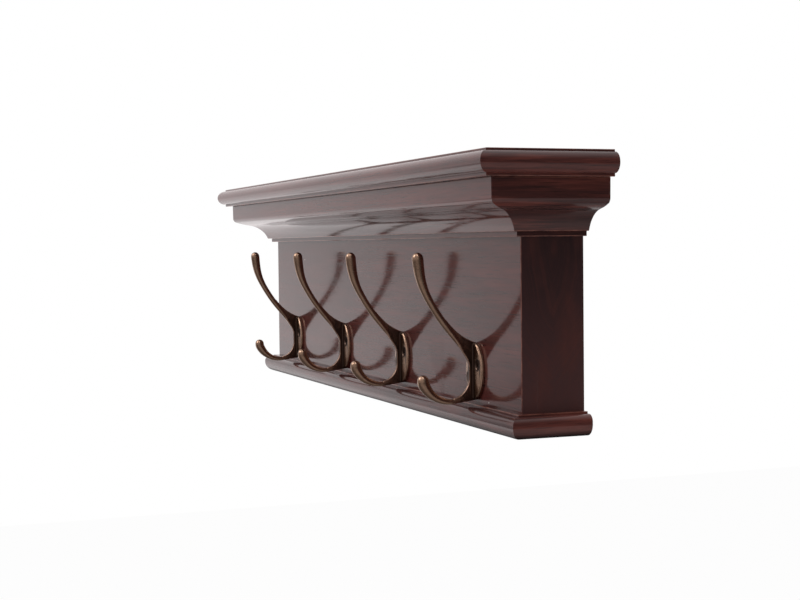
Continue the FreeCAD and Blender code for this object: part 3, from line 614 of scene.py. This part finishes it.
def aged_bronze(name, patina_share):
    """Bronze under a broken patina, darker with painted shade where the mesh marks it, brighter where
    rubbed; patina_share is from 0 to 1.
    """
    material, tree, surface = new_material(name)
    point = place(tree, "ShaderNodeTexCoord").outputs["Object"]
    patches = noise(tree, point, PATINA_PATCHES, 4.0, 0.6)
    pits = noise(tree, point, CASTING_PITS, 2.0, 0.5)
    # patina and painted shade: the attribute darkens the fin, its foot and the screw hollows
    share = sum_of(tree, "ADD", attribute(tree, "patina_and_painted_shade"), patina_share, clamp=True)
    dark = sum_of(tree, "MULTIPLY", spread(tree, patches, 0.30, 0.70, 0.35, 1.0), share)
    dark = sum_of(tree, "ADD", dark, spread(tree, share, 0.50, 0.95, 0.0, 0.6))
    dark = sum_of(tree, "ADD", dark, spread(tree, pits, 0.50, 0.32, 0.0, 0.6), clamp=True)
    colour = blend(tree, dark, BRONZE, PATINA_AND_SHADE)
    bright = sum_of(tree, "MULTIPLY", attribute(tree, "rubbed"), spread(tree, pits, 0.30, 0.55))
    colour = blend(tree, bright, colour, BRIGHT_BRONZE)
    fill_socket(tree, surface.inputs["Base Color"], colour)
    fill_socket(tree, surface.inputs["Roughness"], spread(tree, dark, 0.0, 1.0, 0.24, 0.30))
    fill_socket(tree, surface.inputs["Normal"], dents_from(tree, pits, 0.45, 0.10 * MM))
    surface.inputs["Metallic"].default_value = 1.0
    return material


hook_bronze = aged_bronze("hook_bronze", 0.28)
screw_bronze = aged_bronze("screw_bronze", 1.0)
print("metal finishes:", hook_bronze.name, screw_bronze.name)

# %% [markdown]
# ## Four hooks in a row
#
# All four hooks come from one mould, so one is enough to shape. A casting has no crisp seams between its
# parts: the fin flows into the prongs. A fine voxel remesh followed by a light smoothing melts the joins,
# and a small tree then sets the one hook out along the panel.

# %% Soften one hook
HOOKS = 4
CASTING_GRAIN = 0.42 * MM
KEPT_FACES = 0.45
hook_names = ["hook_%d" % (number + 1) for number in range(HOOKS)]
hook_pitch = float(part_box("hook_2")[0][0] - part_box("hook_1")[0][0])


def softened_casting(node_name):
    sheet = bmesh.new()
    sheet.from_mesh(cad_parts[node_name].data)
    bmesh.ops.remove_doubles(sheet, verts=sheet.verts, dist=0.001 * MM)
    mesh = bpy.data.meshes.new("casting")
    sheet.to_mesh(mesh)
    sheet.free()
    casting = link_mesh("casting", mesh)
    skin = casting.modifiers.new("one_skin", "REMESH")
    skin.mode = "VOXEL"
    skin.voxel_size = CASTING_GRAIN
    melt = casting.modifiers.new("melt_joins", "SMOOTH")
    melt.factor = 0.5
    melt.iterations = 5
    thin_out = casting.modifiers.new("fewer_faces", "DECIMATE")
    thin_out.ratio = KEPT_FACES
    return plain_mesh(casting, "one_hook")


one_hook = softened_casting("hook_1")
print("one hook:", len(one_hook.data.polygons), "faces, pitch", round(hook_pitch, 4))

# %% Mark where it is rubbed
SOFT_BULGE, HARD_BULGE = 200.0, 600.0
EVENING_ROUNDS = 3


def mark_rubbed(piece):
    """Store how sharply each point bulges, from 0 at the soft curvature to 1 at the hard one, per metre."""
    sheet = bmesh.new()
    sheet.from_mesh(piece.data)
    bulge = []
    for vert in sheet.verts:
        rises = [vert.normal.dot(vert.co - edge.other_vert(vert).co) * 2.0 / edge.calc_length() ** 2
                 for edge in vert.link_edges]
        bulge.append(sum(rises) / max(1, len(rises)))
    for _ in range(EVENING_ROUNDS):
        bulge = [(bulge[vert.index] + sum(bulge[edge.other_vert(vert).index] for edge in vert.link_edges))
                 / (1 + len(vert.link_edges)) for vert in sheet.verts]
    sheet.free()
    rubbed = [min(1.0, max(0.0, (value - SOFT_BULGE) / (HARD_BULGE - SOFT_BULGE))) for value in bulge]
    piece.data.attributes.new("rubbed", "FLOAT", "POINT").data.foreach_set("value", rubbed)
    print("rubbed share:", round(sum(rubbed) / len(rubbed), 3))


mark_rubbed(one_hook)

# %% Mark the patina and the painted shade
PLATE_CROWN, HOLLOW_RADIUS = 3.55 * MM, 4.7 * MM
OPEN_REACH, FOOT_REACH = 22.0 * MM, 7.5 * MM
MOST_PATINA_AND_SHADE = 0.70
SCREW_ACROSS, SCREW_UP, HOOK_CENTRE_LEVEL = 8.4 * MM, 4.9 * MM, -58.5 * MM


def middle_of(hook_name):
    low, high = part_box(hook_name)
    return (low[0] + high[0]) / 2


def screw_places_on(hook_name):
    """Where a hook's two screws sit, across and up: on a diagonal over its plate."""
    return [(middle_of(hook_name) + SCREW_ACROSS * side, HOOK_CENTRE_LEVEL + SCREW_UP * side)
            for side in (-1, 1)]


def mark_patina_and_painted_shade(piece, middle, screw_places):
    """Store patina and painted shade: down the fin, along its foot and most of all in the hollows."""
    hollows = [Vector((across, 0.0, up)) for across, up in screw_places]
    patina_and_painted_shade = []
    for vert in piece.data.vertices:
        out = -vert.co.y - panel_depth
        low = (OPEN_REACH - out) / (OPEN_REACH - PLATE_CROWN)
        foot = 1.0 - abs(vert.co.x - middle) / FOOT_REACH
        kept = min(1.0, max(0.0, low if out > PLATE_CROWN else foot))
        flat = Vector((vert.co.x, 0.0, vert.co.z))
        in_hollow = out < PLATE_CROWN and min((flat - hollow).length for hollow in hollows) < HOLLOW_RADIUS
        patina_and_painted_shade.append(1.0 if in_hollow else kept * MOST_PATINA_AND_SHADE)
    piece.data.attributes.new("patina_and_painted_shade", "FLOAT", "POINT").data.foreach_set("value", patina_and_painted_shade)
    print("sheltered share:", round(sum(patina_and_painted_shade) / len(patina_and_painted_shade), 3))


mark_patina_and_painted_shade(one_hook, middle_of("hook_1"), screw_places_on("hook_1"))

# %% Set the hooks out along the panel


def hook_row_tree():
    tree, given, output = node_group("hook_row", [
        ("Count", "NodeSocketInt", HOOKS), ("Pitch", "NodeSocketFloat", 0.1),
        ("Finish", "NodeSocketMaterial", None)])
    step = place(tree, "ShaderNodeCombineXYZ", {0: given.outputs["Pitch"]}).outputs[0]
    row = place(tree, "GeometryNodeMeshLine", {"Count": given.outputs["Count"], "Offset": step}).outputs[0]
    smooth = place(tree, "GeometryNodeSetShadeSmooth", {0: given.outputs["Geometry"]}).outputs[0]
    hooks = place(tree, "GeometryNodeInstanceOnPoints", {"Points": row, "Instance": smooth}).outputs[0]
    finish_tree(tree, hooks, given.outputs["Finish"], output)
    return tree


add_recipe(one_hook, hook_row_tree(), {"Count": HOOKS, "Pitch": hook_pitch, "Finish": hook_bronze})
coat_hooks = plain_mesh(one_hook, "coat_hooks")
stand_for(coat_hooks, *hook_names)

# %% [markdown]
# ## Screws and dowels
#
# A screw is a turned piece: rings of points along an axis, whose radius also depends on the angle where the
# thread winds round. The same helper turns a fluted dowel, whose radius waves with the angle so that glue
# can escape. The crosshead is cut into the head's face. Each is made once, and one tree sets it on all its
# places, with each screw stopped at a turn of its own.

# %% Turning on a lathe


def turned_sheet(rings, columns):
    """A bmesh of rings (distance along Y, radius at an angle); the last ring is closed."""
    sheet = bmesh.new()
    angles = [2 * math.pi * column / columns for column in range(columns)]
    loops = []
    for along, radius_at in rings:
        loops.append([sheet.verts.new((math.sin(angle) * radius_at(angle), along,
                                       math.cos(angle) * radius_at(angle))) for angle in angles])
    for first, second in zip(loops, loops[1:]):
        for column in range(columns):
            after = (column + 1) % columns
            sheet.faces.new((first[column], first[after], second[after], second[column]))
    sheet.faces.new(loops[-1])
    return sheet, loops[0]


def steady(radius):
    return lambda angle: radius


def threaded(core, ridge, along, pitch):
    def radius_at(angle):
        phase = (along / pitch - angle / (2 * math.pi)) % 1.0
        return core + ridge * max(0.0, 1.0 - abs(phase - 0.5) * 3.2)
    return radius_at


def closed_mesh(name, sheet):
    bmesh.ops.recalc_face_normals(sheet, faces=sheet.faces)
    mesh = bpy.data.meshes.new(name)
    sheet.to_mesh(mesh)
    sheet.free()
    mesh.shade_smooth()
    mesh.set_sharp_from_angle(angle=math.radians(35.0))
    return link_mesh(name, mesh)


# %% A countersunk wood screw
SCREW_COLUMNS = 24
STEPS_A_TURN = 7


def cut_crosshead(sheet, rim, head_radius):
    """Close the head's face round a cross, and sink the cross with sloping walls."""
    arm, half, depth = head_radius * 0.60, head_radius * 0.15, head_radius * 0.38
    corners = [(half, half), (arm, half), (arm, -half), (half, -half), (half, -arm), (-half, -arm),
               (-half, -half), (-arm, -half), (-arm, half), (-half, half), (-half, arm), (half, arm)]
    level = rim[0].co.y
    cross = [sheet.verts.new((across, level, up)) for across, up in corners]
    floor = [sheet.verts.new((across * 0.62, level + depth, up * 0.62)) for across, up in corners]
    ring_edges = [sheet.edges.get((rim[i - 1], rim[i])) for i in range(len(rim))]
    cross_edges = [sheet.edges.new((cross[i - 1], cross[i])) for i in range(len(cross))]
    bmesh.ops.triangle_fill(sheet, use_beauty=True, edges=ring_edges + cross_edges)
    for index in range(len(cross)):
        sheet.faces.new((cross[index - 1], cross[index], floor[index], floor[index - 1]))
    sheet.faces.new(floor)


def wood_screw(name, radius, head_radius, length, pitch):
    """A countersunk screw along +Y, with its head's face at the origin."""
    core, neck = radius * 0.70, head_radius - radius
    rings = [(0.0, steady(head_radius - 0.08 * MM)), (0.10 * MM, steady(head_radius)),
             (neck, steady(radius * 0.98)), (length * 0.30, steady(radius * 0.98))]
    along = length * 0.33
    while along < length - 0.1 * MM:
        taper = min(1.0, (length - along) / (radius * 2.4))
        rings.append((along, threaded(core * taper, (radius - core) * min(1.0, taper * 1.5), along, pitch)))
        along += pitch / STEPS_A_TURN
    rings.append((length, steady(0.08 * MM)))
    sheet, rim = turned_sheet(rings, SCREW_COLUMNS)
    cut_crosshead(sheet, rim, head_radius)
    return closed_mesh(name, sheet)


# %% A fluted dowel
FLUTES, FLUTE_DEPTH = 14, 0.025
DOWEL_CHAMFER = 0.9 * MM
DOWEL_COLUMNS = FLUTES * 6


def fluted_dowel(name, radius, length):
    """A glue dowel that stands along +Z from the origin, with chamfered ends."""
    def fluted(angle):
        return radius * (1.0 - FLUTE_DEPTH + FLUTE_DEPTH * math.cos(angle * FLUTES))

    chamfered = steady(radius - DOWEL_CHAMFER)
    rings = [(0.0, chamfered), (DOWEL_CHAMFER, fluted), (length - DOWEL_CHAMFER, fluted),
             (length, chamfered)]
    sheet, rim = turned_sheet(rings, DOWEL_COLUMNS)
    sheet.faces.new(rim)
    bmesh.ops.transform(sheet, matrix=Matrix.Rotation(math.radians(90.0), 4, "X"), verts=sheet.verts)
    return closed_mesh(name, sheet)


# %% The tree that sets fittings on their places
SEED = 7


def fitting_tree():
    tree, given, output = node_group("set_on_places", [
        ("Fitting", "NodeSocketObject", None), ("Turn", "NodeSocketFloat", 0.0),
        ("Spin", "NodeSocketFloat", 0.0), ("Seed", "NodeSocketInt", SEED),
        ("Finish", "NodeSocketMaterial", None)])
    one = place(tree, "GeometryNodeObjectInfo", {"Object": given.outputs["Fitting"]}).outputs["Geometry"]
    spin = place(tree, "FunctionNodeRandomValue", {"Seed": given.outputs["Seed"]}, data_type="FLOAT")
    stop = sum_of(tree, "MULTIPLY", spin.outputs[1], given.outputs["Spin"])
    turn = place(tree, "ShaderNodeCombineXYZ", {1: stop, 2: given.outputs["Turn"]}).outputs[0]
    put = place(tree, "GeometryNodeInstanceOnPoints", {"Points": given.outputs["Geometry"],
                                                       "Instance": one, "Rotation": turn}).outputs[0]
    finish_tree(tree, put, given.outputs["Finish"], output)
    return tree


fitting_recipe = fitting_tree()


def set_fittings(name, fitting, places, turn, spin, finish, node_name):
    """Set one fitting on a list of places, and let the result stand for a solid."""
    spots = bpy.data.meshes.new(name)
    spots.from_pydata(places, [], [])
    holder = link_mesh(name + "_places", spots)
    add_recipe(holder, fitting_recipe, {"Fitting": fitting, "Turn": turn, "Spin": spin, "Seed": SEED,
                                        "Finish": finish})
    pieces = plain_mesh(holder, name)
    bpy.data.objects.remove(fitting)
    stand_for(pieces, node_name)


# %% [markdown]
# ## The hidden fittings
#
# Two zinc plated hanging plates are let into the back, each with a keyhole and two screws. Fluted beech
# dowels pin the cap to the boards, and thin wire pins hold the mouldings. They are seldom seen, but each is
# still made of something.

# %% Finishes for the fittings
ZINC_LIGHT, ZINC_DARK = (0.60, 0.585, 0.54, 1.0), (0.44, 0.435, 0.42, 1.0)
BEECH_DARK, BEECH_LIGHT = (0.56, 0.38, 0.22, 1.0), (0.72, 0.56, 0.37, 1.0)
BEECH_PACKING = (700.0, 700.0, 22.0)
ZINC_SPOTS = 240.0


def plated_steel(name, brush_scale):
    material, tree, surface = new_material(name)
    point = place(tree, "ShaderNodeTexCoord").outputs["Object"]
    brushed = noise(tree, stretched(tree, point, brush_scale))
    spots = noise(tree, point, ZINC_SPOTS)
    colour = blend(tree, spread(tree, spots, 0.35, 0.70), ZINC_LIGHT, ZINC_DARK)
    fill_socket(tree, surface.inputs["Base Color"], colour)
    fill_socket(tree, surface.inputs["Roughness"], spread(tree, brushed, 0.30, 0.70, 0.26, 0.42))
    fill_socket(tree, surface.inputs["Normal"], dents_from(tree, brushed, 0.12, 0.03 * MM))
    surface.inputs["Metallic"].default_value = 1.0
    return material


def dowel_beech():
    material, tree, surface = new_material("dowel_beech")
    point = place(tree, "ShaderNodeTexCoord").outputs["Object"]
    fibres = noise(tree, stretched(tree, point, BEECH_PACKING), detail=4.0, roughness=0.65)
    colour = blend(tree, spread(tree, fibres, 0.30, 0.70), BEECH_DARK, BEECH_LIGHT)
    fill_socket(tree, surface.inputs["Base Color"], colour)
    fill_socket(tree, surface.inputs["Roughness"], spread(tree, fibres, 0.30, 0.70, 0.55, 0.75))
    fill_socket(tree, surface.inputs["Normal"], dents_from(tree, fibres, 0.20, 0.05 * MM))
    return material


def dress(node_name, finish):
    """Give a solid that stays as it is a better material."""
    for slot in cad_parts[node_name].material_slots:
        slot.material = finish
    print("dressed", node_name, "with", finish.name)


plate_steel = plated_steel("plate_steel", (30.0, 1800.0, 1800.0))
wire_steel = plated_steel("wire_steel", (1500.0, 60.0, 1500.0))
for node_name in ("keyhole_plate_left", "keyhole_plate_right"):
    dress(node_name, plate_steel)
for node_name in ("crown_pins", "base_pins"):
    dress(node_name, wire_steel)

# %% Set the hooks' screws
LARGEST_TURN = 6.0
HOOK_SCREW_SINK = 0.85 * MM
head_face = -(panel_depth + PLATE_CROWN - HOOK_SCREW_SINK)
hook_screw = wood_screw("hook_screw", radius=1.75 * MM, head_radius=3.3 * MM, length=19.0 * MM,
                        pitch=1.3 * MM)
hook_screw_places = [(across, head_face, up)
                     for hook_name in hook_names for across, up in screw_places_on(hook_name)]
set_fittings("hook_screws_turned", hook_screw, hook_screw_places, 0.0, LARGEST_TURN, screw_bronze,
             "hook_screws")

# %% Set the hanging plates' screws
PLATE_SCREW_INSET, HEAD_SINK = 5.0 * MM, 0.25 * MM
plate_screw = wood_screw("plate_screw", radius=1.5 * MM, head_radius=2.7 * MM, length=14.0 * MM,
                         pitch=1.1 * MM)
plate_screw_places = []
for node_name in ("keyhole_plate_left", "keyhole_plate_right"):
    low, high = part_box(node_name)
    middle = (low[2] + high[2]) / 2
    rise = (high[2] - low[2]) / 2 - PLATE_SCREW_INSET
    plate_screw_places += [((low[0] + high[0]) / 2, -HEAD_SINK, middle + rise * side) for side in (-1, 1)]
set_fittings("plate_screws_turned", plate_screw, plate_screw_places, math.pi, LARGEST_TURN, plate_steel,
             "plate_screws")

# %% Set the dowels
DOWEL_RADIUS = 4.0 * MM
low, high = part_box("cap_dowels")
dowel = fluted_dowel("dowel", DOWEL_RADIUS, high[2] - low[2])
dowel_places = [(across, depth, low[2])
                for across in (low[0] + DOWEL_RADIUS, 0.0, high[0] - DOWEL_RADIUS)
                for depth in (low[1] + DOWEL_RADIUS, high[1] - DOWEL_RADIUS)]
set_fittings("cap_dowels_fluted", dowel, dowel_places, 0.0, 0.0, dowel_beech(), "cap_dowels")

# %% [markdown]
# ## Floor and light
#
# The rack is photographed in a white surround, which is what makes dark lacquer readable. Seen at a low
# angle the front mirrors the white on its far side, while the end, seen square on, mirrors the darker side
# of the room. The camera itself sees plain white.
#
# The floor lights the rack as any pale floor does. What the lacquer mirrors of it is set apart from that:
# dimmest beside the rack, a little brighter towards the camera and brightest far off.

# %% Floor
FLOOR_LEVEL, FLOOR_SIZE = -0.75, 6.0
FLOOR_DARK, FLOOR_PALE = (0.78, 0.78, 0.78, 1.0), (0.82, 0.82, 0.82, 1.0)
PLAIN_WHITE = (1.0, 1.0, 1.0, 1.0)
WARM_LIGHT = (1.0, 0.945, 0.950, 1.0)
MIRRORED_NEAR, MIRRORED_MIDDLE, MIRRORED_FAR = 0.40, 0.16, 0.92
SHOWN_WHITE = 0.96


def pale_floor():
    material, tree, surface = new_material("pale_floor")
    point = place(tree, "ShaderNodeTexCoord").outputs["Object"]
    colour = blend(tree, noise(tree, point, 3.0), FLOOR_DARK, FLOOR_PALE)
    fill_socket(tree, surface.inputs["Base Color"], colour)
    surface.inputs["Roughness"].default_value = 0.8
    across = split_point(tree, point)[0]
    level = sum_of(tree, "MAXIMUM", spread(tree, across, -0.8, -2.0, MIRRORED_MIDDLE, MIRRORED_FAR),
                   spread(tree, across, 0.0, 0.8, 0.0, MIRRORED_NEAR))
    mirrored = place(tree, "ShaderNodeEmission", {"Color": WARM_LIGHT, "Strength": level}).outputs[0]
    white = place(tree, "ShaderNodeEmission", {"Color": PLAIN_WHITE, "Strength": 1.0}).outputs[0]
    path = place(tree, "ShaderNodeLightPath").outputs
    lit = place(tree, "ShaderNodeMixShader", {0: path["Is Glossy Ray"], 1: surface.outputs[0],
                                              2: mirrored}).outputs[0]
    shown = sum_of(tree, "MULTIPLY", path["Is Camera Ray"], SHOWN_WHITE)
    mixed = place(tree, "ShaderNodeMixShader", {0: shown, 1: lit, 2: white}).outputs[0]
    fill_socket(tree, tree.nodes["Material Output"].inputs["Surface"], mixed)
    return material


bpy.ops.mesh.primitive_plane_add(size=FLOOR_SIZE, location=(0.0, 0.0, FLOOR_LEVEL))
floor = bpy.context.object
floor.name = "floor"
floor.data.materials.append(pale_floor())
print("floor at", FLOOR_LEVEL)

# %% [markdown]
# The surround is drawn by direction. It has an even level in front of the rack that sinks to almost nothing
# past the wall on the right, a brighter far side, and a bright patch overhead. Below the horizon it is
# darker on the near side and brighter on the far side, as a room is whose white backdrop stands far off.

# %% White surround
FAR_WAY, PAST_THE_WALL = (-0.94, 0.34, 0.0), (0.50, 0.87, 0.0)
FRONT_SIDE, FAR_SIDE, OVERHEAD, DIM_SIDE = 0.505, 0.38, 0.40, 0.05
BELOW_NEAR, BELOW_FAR = -0.48, 0.20


def surround_level(sky):
    """How bright the surround is in a direction."""
    direction = place(sky, "ShaderNodeTexCoord").outputs["Generated"]
    height = split_point(sky, direction)[2]
    far_off, past = (place(sky, "ShaderNodeVectorMath", {0: direction, 1: way},
                           operation="DOT_PRODUCT").outputs["Value"] for way in (FAR_WAY, PAST_THE_WALL))
    level = spread(sky, past, 0.18, 0.76, FRONT_SIDE, DIM_SIDE)
    level = sum_of(sky, "ADD", level, spread(sky, far_off, 0.66, 0.85, 0.0, FAR_SIDE))
    near_below = sum_of(sky, "MULTIPLY", spread(sky, far_off, 0.80, 0.72),
                        spread(sky, height, -0.07, -0.15, 0.0, BELOW_NEAR))
    far_below = sum_of(sky, "MULTIPLY", spread(sky, far_off, 0.68, 0.78),
                       spread(sky, height, 0.0, -0.10, 0.0, BELOW_FAR))
    level = sum_of(sky, "ADD", level, sum_of(sky, "ADD", near_below, far_below))
    level = sum_of(sky, "MAXIMUM", level, DIM_SIDE)
    return sum_of(sky, "ADD", level, spread(sky, height, 0.55, 0.90, 0.0, OVERHEAD))


world = bpy.data.worlds.new("white_surround")
bpy.context.scene.world = world
world.use_nodes = True
sky = world.node_tree
sky.nodes.clear()
light = place(sky, "ShaderNodeBackground", {"Color": WARM_LIGHT, "Strength": surround_level(sky)}).outputs[0]
white = place(sky, "ShaderNodeBackground", {"Color": PLAIN_WHITE, "Strength": 1.0}).outputs[0]
seen = place(sky, "ShaderNodeLightPath").outputs["Is Camera Ray"]
mixed = place(sky, "ShaderNodeMixShader", {0: seen, 1: light, 2: white}).outputs[0]
place(sky, "ShaderNodeOutputWorld", {"Surface": mixed})
print("surround:", world.name, "with", len(sky.nodes), "nodes")

# %% Lamps


def soft_lamp(name, spot, aim, size, power):
    lamp = bpy.data.lights.new(name, "AREA")
    lamp.shape = "SQUARE"
    lamp.size = size
    lamp.energy = power
    holder = bpy.data.objects.new(name, lamp)
    bpy.context.scene.collection.objects.link(holder)
    holder.location = spot
    holder.rotation_euler = (Vector(aim) - Vector(spot)).to_track_quat("-Z", "Y").to_euler()
    print(name, "at", spot, "power", power)


MIDDLE = (0.0, -0.05, 0.0)
soft_lamp("front_lamp", (-0.6, -1.7, 1.3), MIDDLE, size=1.2, power=16.0)
soft_lamp("overhead_lamp", (0.9, -0.1, 1.7), MIDDLE, size=0.8, power=9.0)

# %% [markdown]
# ## The camera
#
# The photograph was taken from the right, almost along the front, with a longish lens. Its place was worked
# out from the outline of the rack, so it is written down here as a position and three angles.

# %% Camera
CAMERA_PLACE = (1.22877, -0.48303, 0.03639)
AZIMUTH, ELEVATION, ROLL = 69.470, 2.164, -0.612
LENS_IN_PIXELS, PICTURE_WIDTH = 1448.74, 800.0
SENSOR = 36.0


def camera_axes(azimuth, elevation, roll):
    """The camera's right, up and backward directions in the frame."""
    az, el, ro = (math.radians(angle) for angle in (azimuth, elevation, roll))
    backward = Vector((math.sin(az) * math.cos(el), -math.cos(az) * math.cos(el), math.sin(el)))
    right = Vector((math.cos(az), math.sin(az), 0.0))
    up = backward.cross(right)
    return (right * math.cos(ro) + up * math.sin(ro), up * math.cos(ro) - right * math.sin(ro), backward)


camera = bpy.data.objects.new("camera", bpy.data.cameras.new("camera"))
bpy.context.scene.collection.objects.link(camera)
axes = Matrix(camera_axes(AZIMUTH, ELEVATION, ROLL)).transposed().to_4x4()
camera.matrix_world = Matrix.Translation(CAMERA_PLACE) @ axes
camera.data.sensor_width = SENSOR
camera.data.lens = LENS_IN_PIXELS / PICTURE_WIDTH * SENSOR
camera.data.clip_start = 0.01
bpy.context.scene.camera = camera
bpy.context.scene.view_settings.view_transform = "Standard"
print("lens:", round(camera.data.lens, 2), "mm")
